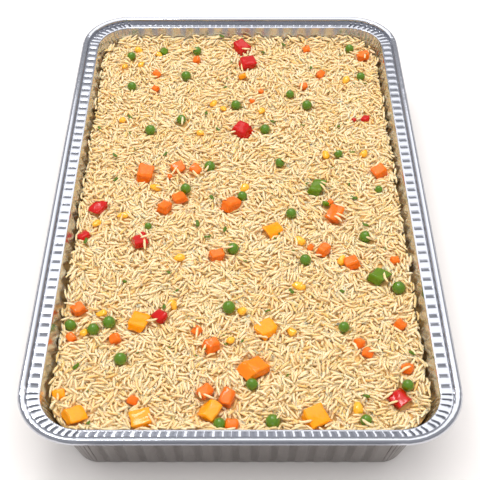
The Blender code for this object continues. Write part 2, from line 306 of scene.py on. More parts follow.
def grain_material(food):
    """Cooked basmati, tossed in a little oil and spice.

    The eye sees pale ivory grains, some stained gold, with a faint wet gloss.
    """
    made, tree, shader, place = new_material("cooked_basmati")
    tone = add_node(tree, "Attribute", output="Fac", attribute_name="tone")
    # Stains of 2 mm run over each grain.
    stain = add_node(tree, "TexNoise", {"Vector": place, "Scale": 500.0, "Detail": 1.0})
    mixed = add_node(tree, "Math", {0: stain, 1: 0.35, 2: tone}, operation="MULTIPLY_ADD")
    gold = add_node(tree, "MapRange", {"Value": mixed, "From Min": 0.12, "From Max": 1.2})
    blend = add_node(
        tree, "Mix",
        {"Factor": gold, "A": opaque(food.pale_grain), "B": opaque(food.gold_grain)},
        output="Result", data_type="RGBA",
    )
    fill_sockets(tree, shader, {
        "Base Color": blend, "Roughness": 0.5, "IOR": 1.45,
        "Subsurface Weight": 0.9, "Subsurface Radius": (1.0, 0.85, 0.65),
        "Subsurface Scale": 0.0016, "Specular IOR Level": 0.3,
    })
    return made


def heap_material(food):
    """Packed rice below the loose grains, seen only through the gaps between them. Its golden
    colour, darker in patches, is painted shade for the grains deeper in the heap.
    """
    made, tree, shader, place = new_material("packed_rice")
    # Patches the size of a grain, 5 mm; the darker ones are painted shade in the gaps.
    patches = add_node(tree, "TexNoise", {"Vector": place, "Scale": 200.0, "Detail": 3.0})
    gap = add_node(tree, "MapRange", {"Value": patches, "From Min": 0.36, "From Max": 0.52})
    blend = add_node(
        tree, "Mix", {"Factor": gap, "A": shade(food.heap, 0.62), "B": opaque(food.heap)},
        output="Result", data_type="RGBA",
    )
    bump = add_node(tree, "Bump", {"Height": patches, "Strength": 0.6, "Distance": 0.001})
    fill_sockets(tree, shader, {"Base Color": blend, "Roughness": 0.6, "Normal": bump})
    return made


def vegetable_material(name, rgb, roughness, mottle, scale, bump_height, glow, wet_ior=1.4):
    """A moist cooked vegetable: an even body colour with mottling, and light under its skin.

    Its wet skin is a coat, whose IOR is raised where the highlights are strongest.
    """
    made, tree, shader, place = new_material(name)
    patches = add_node(tree, "TexNoise", {"Vector": place, "Scale": scale, "Detail": 3.0})
    blend = add_node(
        tree, "Mix",
        {"Factor": patches, "A": shade(rgb, 1 - mottle), "B": shade(rgb, 1 + mottle)},
        output="Result", data_type="RGBA",
    )
    bump = add_node(
        tree, "Bump", {"Height": patches, "Strength": 0.5, "Distance": bump_height}
    )
    fill_sockets(tree, shader, {
        "Base Color": blend, "Roughness": roughness, "IOR": 1.4, "Specular IOR Level": 0.3,
        "Subsurface Weight": glow, "Subsurface Radius": (1.0, 0.5, 0.25),
        "Subsurface Scale": 0.002, "Coat Weight": 0.9, "Coat Roughness": 0.1,
        "Coat IOR": wet_ior, "Normal": bump,
    })
    return made


def deselect_all():
    """Leaves edit mode and clears the selection."""
    if bpy.context.object and bpy.context.object.mode != "OBJECT":
        bpy.ops.object.mode_set(mode="OBJECT")
    for item in bpy.context.selected_objects:
        item.select_set(False)


def make_active(item):
    """Selects one object alone and makes it active."""
    deselect_all()
    item.select_set(True)
    bpy.context.view_layer.objects.active = item


def apply_modifiers(item):
    """Applies every modifier of an object, in order."""
    make_active(item)
    for modifier in list(item.modifiers):
        bpy.ops.object.modifier_apply(modifier=modifier.name)


def finish_piece(item, slot, *nodes):
    """Puts a finished piece on the model's body, in place of the nodes that it stands for."""
    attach(item, "root")
    if nodes:
        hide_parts(*nodes)
    deselect_all()


def node_names(kind):
    """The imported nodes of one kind, such as every carrot."""
    return sorted(n for n in frame["nodes"] if n.rstrip("0123456789") == kind + "_")


def wall_inset(tray, level):
    """How far the wall's foil stands in from the rim's edge at a height, at sides and ends."""
    share = level / tray.flange_level
    side = tray.base_inset + share * (tray.side_flange - tray.base_inset)
    end = tray.base_inset + share * (tray.end_flange - tray.base_inset)
    return side, end, tray.base_radius + share * (tray.mouth_radius - tray.base_radius)


SIDE, END, CORNER = 0, 1, 2
CORNER_FOLDS, SIDE_CRIMPS, END_CRIMPS = 11, 45, 36
# The whole foil is shaken by small dents this far apart.
DENT_PITCH = 3.2 * MM
SMOOTH_BELOW = math.radians(30)


def rim_stations(tray):
    """Where a ring's points stand round the tray, and how the foil is pressed at each.

    A station lies between two corner centres, from which it stands off by the ring's corner
    radius. Each crimp has six stations: one on the crest and five across its groove. The die
    pressed the long sides' crimps unevenly, and gathered the corners' foil into narrow folds.
    """
    draw = random.Random(3)
    signs = np.array(((1, 1), (-1, 1), (-1, -1), (1, -1)), float)
    flange_radius = tray.rim_radius - 0.7 * tray.side_flange
    stations = []
    for corner in range(4):
        step = math.radians(90) / CORNER_FOLDS
        for number in range(CORNER_FOLDS):
            middle = math.radians(90 * corner) + (number + 0.5) * step
            width = draw.uniform(0.85, 1.1) * MM
            depth = draw.uniform(0.7, 0.85)
            for place, groove, pan in crimp_offsets(step * flange_radius, width, width, draw):
                angle = middle + place / flange_radius
                # The fold's last figure roughens the foil and darkens its colour: the roughness is
                # the die's, the darker colour painted shade.
                stations.append((
                    corner, corner, 0.0, angle, groove * depth, pan * depth, -1.3 * groove, 1.0,
                    CORNER, 0.9 * pan,
                ))
        after = (corner + 1) % 4
        long_side = corner % 2
        run = (tray.length if long_side else tray.width) - 2 * tray.rim_radius
        crimps = SIDE_CRIMPS if long_side else END_CRIMPS
        for number in range(crimps):
            width = draw.uniform(2.15, 2.7) * MM
            # The far end's crimps came out fainter than the near end's. A crimp's second figure
            # roughens the foil and darkens its colour: the roughness is the die's, the darker
            # colour painted shade, strongest at the near end.
            depth, mark_and_shade = (0.9, 1.0) if corner == 2 else (0.6, 0.15)
            before = beyond = width
            if long_side:
                strength = draw.choice((0.9, 1.0, 1.1, 1.2))
                # The long sides' crimps are darkened too, as painted shade.
                depth, mark_and_shade = 0.85 * strength, 0.6
                wide, steep = (1.3 + 1.3 * strength) * MM, (0.7 + 0.8 * strength) * MM
                before, beyond = (steep, wide) if corner == 1 else (wide, steep)
            middle = (number + 0.5) * run / crimps
            for place, groove, pan in crimp_offsets(run / crimps, before, beyond, draw):
                along = middle + place
                wave = math.sin(math.tau * along / tray.flute_pitch + corner)
                fade = min(1.0, along / (8 * MM), (run - along) / (8 * MM))
                flute = max(-1.0, min(1.0, 1.4 * wave)) * max(0.0, fade)
                near_corner = max(0.0, 1 - min(along, run - along) / (14 * MM))
                stations.append((
                    corner, after, along / run, math.radians(90 * (corner + 1)),
                    groove * depth, pan * depth, flute, near_corner,
                    SIDE if long_side else END, mark_and_shade * pan,
                ))
    start = signs[[s[0] for s in stations]]
    end = signs[[s[1] for s in stations]]
    along = np.array([s[2] for s in stations])[:, None]
    angle = np.array([s[3] for s in stations])
    centres = start * (1 - along) + end * along
    outward = np.stack([np.cos(angle), np.sin(angle)], 1)
    return centres, outward, *(np.array([s[i] for s in stations]) for i in range(4, 10))


def crimp_offsets(pitch, before, after, draw):
    """Places across one crimp from its middle, and how deep it is there as a V and as a pan."""
    room = pitch / 2 - max(before, after) - 0.1 * MM
    shift = draw.uniform(-1, 1) * max(0.0, min(room, 0.7 * MM))
    round_over = 0.3 * MM
    return (
        (-pitch / 2, 0.0, 0.0), (shift - before, 0.0, 0.0),
        (shift - before + round_over, 0.6 * round_over / before, 0.8),
        (shift, 1.0, 1.0), (shift + after - round_over, 0.6 * round_over / after, 0.8),
        (shift + after, 0.0, 0.0),
    )


def foil_profile(tray):
    """The rings from the base to the bead's curled edge.

    Each is the inset at sides and at ends, the corner radius, the height, the crimps' share at
    sides, ends and corners and how much the ends' are pans, how much of the flutes and of the
    corners' crumpling it takes, and how rough and darkened its foil is in general and at the long
    sides; the darkening is painted shade.
    """
    rings = []
    none, every = (0.0, 0.0, 0.0, 0.0), (1.0, 1.0, 1.0, 1.0)
    for level, inwards, flute in (
        (0.3, 4.2, 0.0), (0.3, 2.6, 0.0), (0.9, 1.0, 0.0), (2.2, 0.5, 0.2), (5, 0.45, 0.35),
        (30, 0.45, 0.8), (54, 0.45, 0.8), (66, 0.45, 0.5),
    ):
        side, end, radius = wall_inset(tray, level * MM)
        inwards *= MM
        rings.append(
            (side + inwards, end + inwards, radius - inwards, level * MM, none, flute, 0, 0, 0)
        )
    # From the wall over the rounded mouth to the crimped flange.
    for side, end, level, crimp, flute in (
        (16.25, 14.85, 74.9, none, 0.1), (16.0, 14.6, 76.0, none, 0.0),
        (15.7, 14.4, 76.6, none, 0.0), (15.2, 14.0, 76.82, none, 0.0),
        (14.3, 12.9, 76.87, (0.05, 0.05, 0.7, 1.0), 0.0),
        (13.9, 12.4, 76.9, (0.95, 0.9, 1.0, 1.0), 0.0),
        (13.4, 12.0, 76.94, every, 0.0), (9.8, 9.8, 77.2, every, 0.0),
        (8.6, 8.6, 77.22, every, 0.0), (7.8, 7.8, 77.25, (1.0, 0.7, 1.0, 1.0), 0.0),
        (7.0, 7.0, 77.27, (0.1, 0.1, 0.7, 1.0), 0.0), (6.5, 6.5, 77.3, none, 0.0),
    ):
        side, end = side * MM, end * MM
        rings.append((side, end, tray.rim_radius - end, level * MM, crimp, flute, 0, 0, 0))
    # Up the steep step to the bead, over it and under its curl. The last figure roughens the foil
    # and darkens its colour: painted shade up the step and under the curl, and more on the bead's
    # inner side along the long sides.
    for inset, level, crumple, dull_and_shade in (
        (6.2, 77.6, 0.1, 0.15), (6.15, 80.2, 0.4, 0.4), (6.0, 80.9, 0.6, 0.6),
        (5.7, 81.4, 0.7, 0.0), (5.2, 81.62, 0.7, 0.0), (4.6, 81.82, 0.8, 0.0),
        (3.9, 82.02, 0.9, 0.0), (3.1, 82.2, 1.0, 0.0), (2.4, 82.27, 1.0, 0.0),
        (1.9, 82.15, 1.0, 0.0), (1.35, 81.8, 1.0, 0.0), (0.75, 81.2, 1.0, 0.7),
        (0.3, 80.5, 1.0, 1.0), (0.0, 79.7, 1.0, 0.7), (0.05, 79.0, 1.0, 0.8),
        (0.5, 78.5, 1.0, 0.8), (1.1, 78.3, 1.0, 1.0), (1.9, 78.4, 1.0, 1.0),
    ):
        side_dull_and_shade = 0.75 if 5 < inset < 6.1 else 0.4 if inset == 4.6 else dull_and_shade
        inset *= MM
        rings.append((
            inset, inset, tray.rim_radius - inset, level * MM, none, 0, crumple, dull_and_shade, side_dull_and_shade,
        ))
    return rings


def ring_points(tray, stations, ring, number):
    """The points of one ring, with its flutes, crimps and crumpling, and how rough and darkened by
    painted shade each is.
    """
    centres, outward, groove, pan, flute, crumple, run_kind, mark_and_shade = stations
    side, end, radius, level, crimp_shares, flute_share, crumple_share, dull_and_shade, side_dull_and_shade = ring
    half = np.array((tray.width / 2 - side - radius, tray.length / 2 - end - radius))
    flat = centres * half + outward * radius
    flat = flat + outward * (flute * flute_share * tray.flute_depth)[:, None]
    share = np.array(crimp_shares[:3])[run_kind.astype(int)]
    as_pan = np.where(run_kind == END, crimp_shares[3], 0.0)
    pressed = groove * (1 - as_pan) + pan * as_pan
    height = np.full(len(flat), level) - pressed * share * tray.crimp_depth
    shaken = np.empty((len(flat), 2))
    for i, (x, y) in enumerate(flat):
        spot = Vector((x, y, level)) / DENT_PITCH
        shaken[i] = noise.noise(spot), noise.noise(spot + Vector((9, number * 0.37, 5)))
    amount = 0.05 * MM + crumple * crumple_share * 0.18 * MM
    inward = -np.abs(shaken[:, 0]) * amount
    flat = flat + outward * inward[:, None]
    drop = -np.abs(shaken[:, 1]) * amount if crumple_share else shaken[:, 1] * amount * 0.4
    height = np.maximum(height + drop, 0.3 * MM)
    # Painted shade darkens the flutes' recesses, and the bead's inner side along the long sides;
    # both are rougher too.
    recess_shade = np.where(outward[:, 1] > 0.7, 0.12, 0.4) * flute_share
    marks_and_shade = mark_and_shade * np.clip(share, 0, 1) + recess_shade * np.clip(-1.5 * flute, 0, 1)
    dulled_and_shaded = np.where(run_kind == SIDE, side_dull_and_shade, dull_and_shade * (1 - 0.6 * crumple))
    return np.column_stack((flat, height)), np.maximum(marks_and_shade, dulled_and_shaded)


class MEAL_OT_foil_tray(bpy.types.Operator):
    """Adds the foil tray: fluted walls, a crimped flange and a rolled bead"""

    bl_idname = "meal.foil_tray"
    bl_label = "Foil tray"

    def execute(self, context):
        tray = context.scene.foil_meal.tray
        stations = rim_stations(tray)
        count = len(stations[0])
        deselect_all()
        bpy.ops.mesh.primitive_circle_add(vertices=count, radius=0.2, fill_type="NGON")
        item = context.object
        item.name = item.data.name = "foil_tray"
        bpy.ops.object.mode_set(mode="EDIT")
        bpy.ops.mesh.select_mode(type="EDGE")
        mesh = bmesh.from_edit_mesh(item.data)
        mesh.verts.layers.int.new("station")
        # The pressed attribute roughens the foil and darkens its colour; the darkening is painted
        # shade.
        mesh.verts.layers.float.new("pressed")
        mesh.faces.ensure_lookup_table()
        if mesh.faces[0].normal.z < 0:
            mesh.faces[0].normal_flip()
        station = mesh.verts.layers.int["station"]
        for number, vertex in enumerate(mesh.faces[0].verts):
            vertex[station] = number
        # The rim is extruded ring by ring from the base, and each copy knows its station.
        for number, ring in enumerate(foil_profile(tray)):
            if number:
                bpy.ops.mesh.extrude_edges_move()
            mesh = bmesh.from_edit_mesh(item.data)
            station = mesh.verts.layers.int["station"]
            pressed = mesh.verts.layers.float["pressed"]
            points, dullness = ring_points(tray, stations, ring, number)
            for vertex in mesh.verts:
                if vertex.select:
                    vertex.co = points[vertex[station]]
                    vertex[pressed] = dullness[vertex[station]]
            bmesh.update_edit_mesh(item.data)
        bpy.ops.object.mode_set(mode="OBJECT")
        item.data.attributes.remove(item.data.attributes["station"])
        # Each foil's second colour is the darker one it is mixed towards as painted shade. The
        # outside's colours are darker than the inside's all over: painted shade, for the shaded
        # table that its walls mirror.
        item.data.materials.append(foil_material("bright_rolled_foil", "#D8DAE1", "#84868F"))
        item.data.materials.append(foil_material("dull_outside_of_foil", "#96908D", "#5A5552"))
        shell = item.modifiers.new("foil", "SOLIDIFY")
        shell.thickness = tray.foil
        shell.material_offset = 1
        apply_modifiers(item)
        bpy.ops.object.shade_smooth_by_angle(angle=SMOOTH_BELOW)
        finish_piece(item, "foil", "tray")
        return {"FINISHED"}


def surface_tree(names):
    """A tree of the named objects' faces, for rays."""
    points, faces = [], []
    for name in names:
        data = bpy.data.objects[name].data
        start = len(points)
        points.extend(v.co.copy() for v in data.vertices)
        faces.extend(tuple(start + i for i in p.vertices) for p in data.polygons)
    return BVHTree.FromPolygons(points, faces)


# The height maps' cells, over the whole mouth of the tray.
CELL = 1.0 * MM
CELLS_X, CELLS_Y = 300, 510
NOTHING = -1.0
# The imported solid's own top lies above the first level, and the pockets below it. The second
# stands in where neither is near.
POCKETS_BELOW, FILLED_LEVEL = 0.056, 0.058


def cell_of(x, y):
    """The column and row of the height map's cell under a point, as whole numbers."""
    column = np.clip(np.asarray(x) / CELL + CELLS_X / 2, 0, CELLS_X - 1).astype(int)
    row = np.clip(np.asarray(y) / CELL + CELLS_Y / 2, 0, CELLS_Y - 1).astype(int)
    return column, row


def scan_from_above(names):
    """Heights of the named objects seen from above on a grid of cells."""
    tree = surface_tree(names)
    down = Vector((0, 0, -1))
    seen = np.full((CELLS_Y, CELLS_X), NOTHING)
    for row in range(CELLS_Y):
        y = (row + 0.5 - CELLS_Y / 2) * CELL
        for column in range(CELLS_X):
            x = (column + 0.5 - CELLS_X / 2) * CELL
            hit = tree.ray_cast(Vector((x, y, 0.2)), down)[0]
            if hit is not None:
                seen[row, column] = hit.z
    return seen


def blur(field, weight, reach):
    """A running mean of a field over its cells that carry weight."""
    kernel = np.ones(2 * reach + 1)

    def add_up(line):
        return np.convolve(line, kernel, "same")

    top = field * weight
    for axis in (0, 1):
        top = np.apply_along_axis(add_up, axis, top)
        weight = np.apply_along_axis(add_up, axis, weight)
    return top / np.maximum(weight, 1e-9)


@lru_cache(maxsize=None)
def heap_map():
    """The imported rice's smoothed top, with its pockets bridged."""
    solid = scan_from_above(("rice",))
    fine = solid > POCKETS_BELOW
    smooth = blur(np.where(fine, solid, 0.0), fine.astype(float), 6)
    return np.where(smooth > POCKETS_BELOW / 2, smooth, FILLED_LEVEL)


def heap_level(x, y):
    """The rice's level under a point."""
    column, row = cell_of(x, y)
    return float(heap_map()[row, column])


def wall_rise(x, y):
    """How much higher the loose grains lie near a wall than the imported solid's edge."""
    near = np.minimum(142 * MM - np.abs(x), 244 * MM - np.abs(y))
    return 5.0 * MM * np.clip(1 - near / (13 * MM), 0, 1)


def scatter(name, prototypes, places, finish, tones=None):
    """One piece with a copy of a prototype, moved by its matrix, at each place."""
    points, corners, sizes, values = [], [], [], []
    start = 0
    shapes = []
    for prototype in prototypes:
        data = prototype.data
        co = np.empty(len(data.vertices) * 3)
        data.vertices.foreach_get("co", co)
        loops = np.empty(len(data.loops), np.int64)
        data.loops.foreach_get("vertex_index", loops)
        totals = np.empty(len(data.polygons), np.int64)
        data.polygons.foreach_get("loop_total", totals)
        shapes.append((co.reshape(-1, 3), loops, totals))
    for number, (kind, matrix) in enumerate(places):
        co, loops, totals = shapes[kind]
        matrix = np.array(matrix)
        points.append(co @ matrix[:3, :3].T + matrix[:3, 3])
        corners.append(loops + start)
        sizes.append(totals)
        if tones is not None:
            values.append(np.full(len(co), tones[number]))
        start += len(co)
    points, corners, sizes = map(np.concatenate, (points, corners, sizes))
    data = bpy.data.meshes.new(name)
    data.vertices.add(len(points))
    data.vertices.foreach_set("co", points.ravel())
    data.loops.add(len(corners))
    data.loops.foreach_set("vertex_index", corners)
    data.polygons.add(len(sizes))
    data.polygons.foreach_set("loop_start", np.concatenate(([0], np.cumsum(sizes)[:-1])))
    data.polygons.foreach_set("loop_total", sizes)
    data.update(calc_edges=True)
    data.validate()
    data.shade_smooth()
    if tones is not None:
        tone = data.attributes.new("tone", "FLOAT", "POINT")
        tone.data.foreach_set("value", np.concatenate(values))
    data.materials.append(finish)
    item = bpy.data.objects.new(name, data)
    bpy.context.scene.collection.objects.link(item)
    return item


def remove(items):
    """Removes prototypes that were only there to be copied."""
    for item in items:
        bpy.data.objects.remove(item)


def place_matrix(x, y, z, turn, size):
    """A matrix that scales, turns and then places a copy."""
    return Matrix.LocRotScale(Vector((x, y, z)), Euler(turn), Vector((size,) * 3))


def any_turn(draw):
    """A turn about all three axes."""
    return tuple(draw.uniform(0, math.tau) for _ in range(3))


def lying_turn(draw, lean=0.5):
    """Any turn about the upright, leant a little both ways."""
    return draw.uniform(-lean, lean), draw.uniform(-lean, lean), draw.uniform(0, math.tau)


def pea_prototype(number):
    """A cooked pea of 1 m: round, with a shallow dimple and a slack, faintly wrinkled skin."""
    deselect_all()
    bpy.ops.mesh.primitive_uv_sphere_add(segments=20, ring_count=12, radius=0.5)
    item = bpy.context.object
    for vertex in item.data.vertices:
        outward = vertex.co.normalized()
        wrinkle = noise.noise(outward * 2.6 + Vector((number * 5, 0, 0)))
        dimple = max(0.0, outward.dot(Vector((0.8, 0.5, 0.33))) - 0.93) * 1.2
        vertex.co = outward * (0.5 * (1 + 0.05 * wrinkle - dimple))
    return item


class MEAL_OT_peas(bpy.types.Operator):
    """Adds the peas"""

    bl_idname = "meal.peas"
    bl_label = "Peas"

    def execute(self, context):
        draw = random.Random(21)
        prototypes = [pea_prototype(number) for number in range(3)]
        places = []
        names = node_names("pea")
        for name in names:
            low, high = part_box(name)
            middle = (low + high) / 2
            size = sum(high - low) / 3 * 1.03
            places.append((draw.randrange(3), place_matrix(*middle, any_turn(draw), size)))
        for x, y, size in SMALL_PEAS:
            x, y, size = x * MM, y * MM, size * MM
            level = heap_level(x, y) + 1.6 * MM
            places.append((draw.randrange(3), place_matrix(x, y, level, any_turn(draw), size)))
        # Skin of a boiled garden pea, mottled over 4 mm.
        finish = vegetable_material(
            "boiled_pea_skin", context.scene.foil_meal.food.pea, 0.26, 0.22, 250.0, 0.0002, 0.12,
            1.7,
        )
        item = scatter("peas", prototypes, places, finish)
        remove(prototypes)
        finish_piece(item, "pea", *names)
        return {"FINISHED"}


def small_chunks(thin):
    """Four small knife-cut chunks of 1 m: bevelled, softened blocks with uneven faces."""
    made = []
    for number in range(4):
        deselect_all()
        bpy.ops.mesh.primitive_cube_add(size=1.0)
        item = bpy.context.object
        item.data.transform(Matrix.Diagonal((1.0, 0.86, 0.55 if thin else 0.8, 1.0)))
        bevel = item.modifiers.new("bevel", "BEVEL")
        bevel.width = 0.12
        bevel.segments = 1
        smooth = item.modifiers.new("smooth", "SUBSURF")
        smooth.levels = smooth.render_levels = 1
        apply_modifiers(item)
        for vertex in item.data.vertices:
            spot = vertex.co * 2.0 + Vector((number * 7, 3, 1))
            vertex.co += noise.noise_vector(spot) * 0.09
        made.append(item)
    return made


def follow_nodes(name, kind, edge):
    """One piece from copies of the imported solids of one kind, merged, softened and uneven.

    A knife-cut piece has its edges rounded to a width, and a grown one is soft all over.
    """
    names = node_names(kind)
    copies = []
    deselect_all()
    for node in names:
        copy = bpy.data.objects.new(name, frame["nodes"][node].data.copy())
        bpy.context.scene.collection.objects.link(copy)
        copy.data.materials.clear()
        copy.select_set(True)
        copies.append(copy)
    bpy.context.view_layer.objects.active = copies[0]
    if len(copies) > 1:
        bpy.ops.object.join()
    item = copies[0]
    item.name = item.data.name = name
    bpy.ops.object.mode_set(mode="EDIT")
    bpy.ops.mesh.select_all(action="SELECT")
    bpy.ops.mesh.remove_doubles(threshold=0.00003)
    bpy.ops.mesh.tris_convert_to_quads(
        face_threshold=math.radians(25), shape_threshold=math.radians(70)
    )
    bpy.ops.object.mode_set(mode="OBJECT")
    item.data.attributes.active_color = None
    if edge:
        bevel = item.modifiers.new("edges", "BEVEL")
        bevel.width = edge
        bevel.segments = 2
        bevel.angle_limit = math.radians(28)
    smooth = item.modifiers.new("soften", "SUBSURF")
    smooth.levels = smooth.render_levels = 2
    smooth.subdivision_type = "SIMPLE" if edge else "CATMULL_CLARK"
    apply_modifiers(item)
    for vertex in item.data.vertices:
        vertex.co += noise.noise_vector(vertex.co / (5.5 * MM)) * (1.1 * MM)
    item.data.shade_smooth()
    return item, names


def add_vegetable(name, kind, finish, edge, small, prototypes, lift, draw):
    """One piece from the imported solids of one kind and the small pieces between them.

    lift gives how high a small piece of a given size has its middle over the rice's level.
    """
    item, names = follow_nodes(name, kind, edge)
    item.data.materials.append(finish)
    places = []
    for x, y, size in small:
        x, y, size = x * MM, y * MM, size * MM
        turn = lying_turn(draw)
        shape = draw.randrange(len(prototypes)) if len(prototypes) > 1 else 0
        level = heap_level(x, y) + lift(size)
        places.append((shape, place_matrix(x, y, level, turn, size)))
    if places:
        extra = scatter("small", prototypes, places, finish)
        make_active(item)
        extra.select_set(True)
        bpy.ops.object.join()
    remove(prototypes)
    finish_piece(item, kind, *names)


def lift_of_dice(size):
    """Small dice lie nearly level with the rice."""
    return 0.06 * size


class MEAL_OT_carrot(bpy.types.Operator):
    """Adds the carrot dice"""

    bl_idname = "meal.carrot"
    bl_label = "Carrot dice"

    def execute(self, context):
        # Boiled carrot, fibrous over 3 mm.
        finish = vegetable_material(
            "boiled_carrot", context.scene.foil_meal.food.carrot, 0.36, 0.28, 300.0, 0.0004, 0.15
        )
        add_vegetable(
            "carrot_dice", "carrot", finish, 1.2 * MM, SMALL_CARROT, small_chunks(False),
            lift_of_dice, random.Random(31),
        )
        return {"FINISHED"}


class MEAL_OT_corn(bpy.types.Operator):
    """Adds the sweetcorn kernels"""

    bl_idname = "meal.corn"
    bl_label = "Sweetcorn"

    def execute(self, context):
        # Skin of a boiled kernel, with a soft gloss.
        finish = vegetable_material(
            "boiled_sweetcorn", context.scene.foil_meal.food.corn, 0.28, 0.08, 260.0, 0.0002, 0.35,
            2.0,
        )
        kernel = pea_prototype(9)
        for vertex in kernel.data.vertices:
            taper = 1.0 - 0.5 * (0.5 - vertex.co.x)
            vertex.co = (vertex.co.x, vertex.co.y * 0.95 * taper, vertex.co.z * 0.7 * taper)
        add_vegetable(
            "sweetcorn", "corn", finish, 0, SMALL_CORN, [kernel], lambda size: 1.2 * MM,
            random.Random(41),
        )
        return {"FINISHED"}


class MEAL_OT_peppers(bpy.types.Operator):
    """Adds the red, yellow, orange and green pepper pieces"""

    bl_idname = "meal.peppers"
    bl_label = "Peppers"

    def execute(self, context):
        food = context.scene.foil_meal.food
        kinds = (
            ("red_pepper", food.red, SMALL_RED, 51),
            ("yellow_pepper", food.yellow, SMALL_YELLOW, 52),
            ("orange_pepper", food.orange, (), 53),
            ("green_pepper", food.green, SMALL_GREEN, 54),
        )
        for kind, rgb, small, seed in kinds:
            # Softened pepper: waxy skin over wet flesh, gently dented over 5 mm.
            finish = vegetable_material("cooked_" + kind, rgb, 0.22, 0.14, 190.0, 0.0005, 0.2)
            add_vegetable(
                kind + "_pieces", kind, finish, 1.6 * MM, small, small_chunks(True),
                lift_of_dice, random.Random(seed),
            )
        return {"FINISHED"}


def inside_tray(tray, x, y, level, gap):
    """True where a point stands inside the fluted walls by at least a gap."""
    side, end, radius = wall_inset(tray, level)
    half_x = tray.width / 2 - side - tray.flute_depth - gap
    half_y = tray.length / 2 - end - tray.flute_depth - gap
    past_x, past_y = abs(x) - (half_x - radius), abs(y) - (half_y - radius)
    if past_x <= 0:
        return past_y <= radius
    if past_y <= 0:
        return past_x <= radius
    return math.hypot(past_x, past_y) <= radius


class MEAL_OT_rice_core(bpy.types.Operator):
    """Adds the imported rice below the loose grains"""

    bl_idname = "meal.rice_core"
    bl_label = "Packed rice"

    def execute(self, context):
        settings = context.scene.foil_meal
        tray, rice = settings.tray, settings.rice
        top = 56 * MM
        side, end, radius = wall_inset(tray, top)
        gap = 1.2 * MM
        half_x, half_y = tray.width / 2 - side - gap, tray.length / 2 - end - gap
        deselect_all()
        bpy.ops.mesh.primitive_grid_add(
            x_subdivisions=110, y_subdivisions=190, size=2.0, location=(0, 0, 0)
        )
        item = context.object
        item.name = item.data.name = "rice_core"
        for vertex in item.data.vertices:
            x, y = vertex.co.x * half_x, vertex.co.y * half_y
            x, y = round_corner(x, y, half_x, half_y, radius)
            rough = noise.noise(Vector((x, y, 0)) / (3 * MM)) * 0.8 * MM
            rise = float(wall_rise(x, y))
            vertex.co = (x, y, heap_level(x, y) + rise - rice.layer + rough)
        bpy.ops.object.mode_set(mode="EDIT")
        bpy.ops.mesh.select_mode(type="EDGE")
        bpy.ops.mesh.select_all(action="DESELECT")
        bpy.ops.mesh.select_non_manifold(extend=False)
        bpy.ops.mesh.extrude_edges_move()
        mesh = bmesh.from_edit_mesh(item.data)
        foot_side, foot_end, _ = wall_inset(tray, 5 * MM)
        foot_x = (tray.width / 2 - foot_side - 4.0 * MM) / half_x
        foot_y = (tray.length / 2 - foot_end - 4.0 * MM) / half_y
        for vertex in mesh.verts:
            if vertex.select:
                vertex.co = (vertex.co.x * foot_x, vertex.co.y * foot_y, 1.3 * MM)
        bmesh.update_edit_mesh(item.data)
        bpy.ops.mesh.edge_face_add()
        bpy.ops.object.mode_set(mode="OBJECT")
        item.data.shade_smooth()
        item.data.materials.append(heap_material(settings.food))
        finish_piece(item, "rice", "rice")
        return {"FINISHED"}


def round_corner(x, y, half_x, half_y, radius):
    """Pulls a point of a rectangle in, so that the rectangle's corners become round."""
    reach = max(abs(x) / half_x, abs(y) / half_y)
    if reach < 1e-6:
        return x, y
    edge_x, edge_y = abs(x) / reach, abs(y) / reach
    centre_x, centre_y = half_x - radius, half_y - radius
    if edge_x <= centre_x or edge_y <= centre_y:
        return x, y
    along = edge_x * centre_x + edge_y * centre_y
    square = edge_x**2 + edge_y**2
    root = math.sqrt(along**2 - square * (centre_x**2 + centre_y**2 - radius**2))
    pull = 1 - (1 - (along + root) / square) * reach**4
    return x * pull, y * pull


def grain_prototype(bend, taper):
    """A cooked long grain of 1 m: slender, bent, and pointed at one end more than the other."""
    deselect_all()
    bpy.ops.mesh.primitive_uv_sphere_add(segments=5, ring_count=4, radius=0.5)
    item = bpy.context.object
    item.data.transform(Matrix.Rotation(math.radians(90), 4, "Y"))
    for vertex in item.data.vertices:
        x, y, z = vertex.co
        girth = math.hypot(y, z)
        if girth > 1e-4:
            wide = 0.5 * (girth / 0.5) ** 0.85 * (1 + taper * x)
            y, z = y / girth * wide, z / girth * wide
        vertex.co = (x, y, z)
    for vertex in item.data.vertices:
        vertex.co.y += bend * (0.25 - vertex.co.x**2) * 4
    return item


def settle(heights, columns, rows, along):
    """How a straight grain comes to rest on the heights below it: its middle level and slope."""
    below = heights[rows, columns]
    top = int(np.argmax(below))
    falls = (below[top] - below) / np.abs(along[top] - along + 1e-9)
    if along[top] > 0:
        other = along < along[top] - 1e-6
        sign = 1.0
    else:
        other = along > along[top] + 1e-6
        sign = -1.0
    slope = float(np.min(falls[other])) if other.any() else 0.0
    slope = sign * min(slope, 0.5)
    return below[top] - slope * along[top], slope


# The grains' middles fall within these half widths, each tried this often at the most.
FALL_X, FALL_Y = 0.144, 0.246
TRIES = 5
# How far a loose grain may stand over the heap, beside a vegetable and elsewhere.
CAP_BESIDE, CAP = 0.2 * MM, 1.3 * MM
# Patches of stained rice, and single stained lumps, are this wide; the grains' flow turns over
# the third.
PATCH, LUMP, FLOW = 24 * MM, 7 * MM, 38 * MM


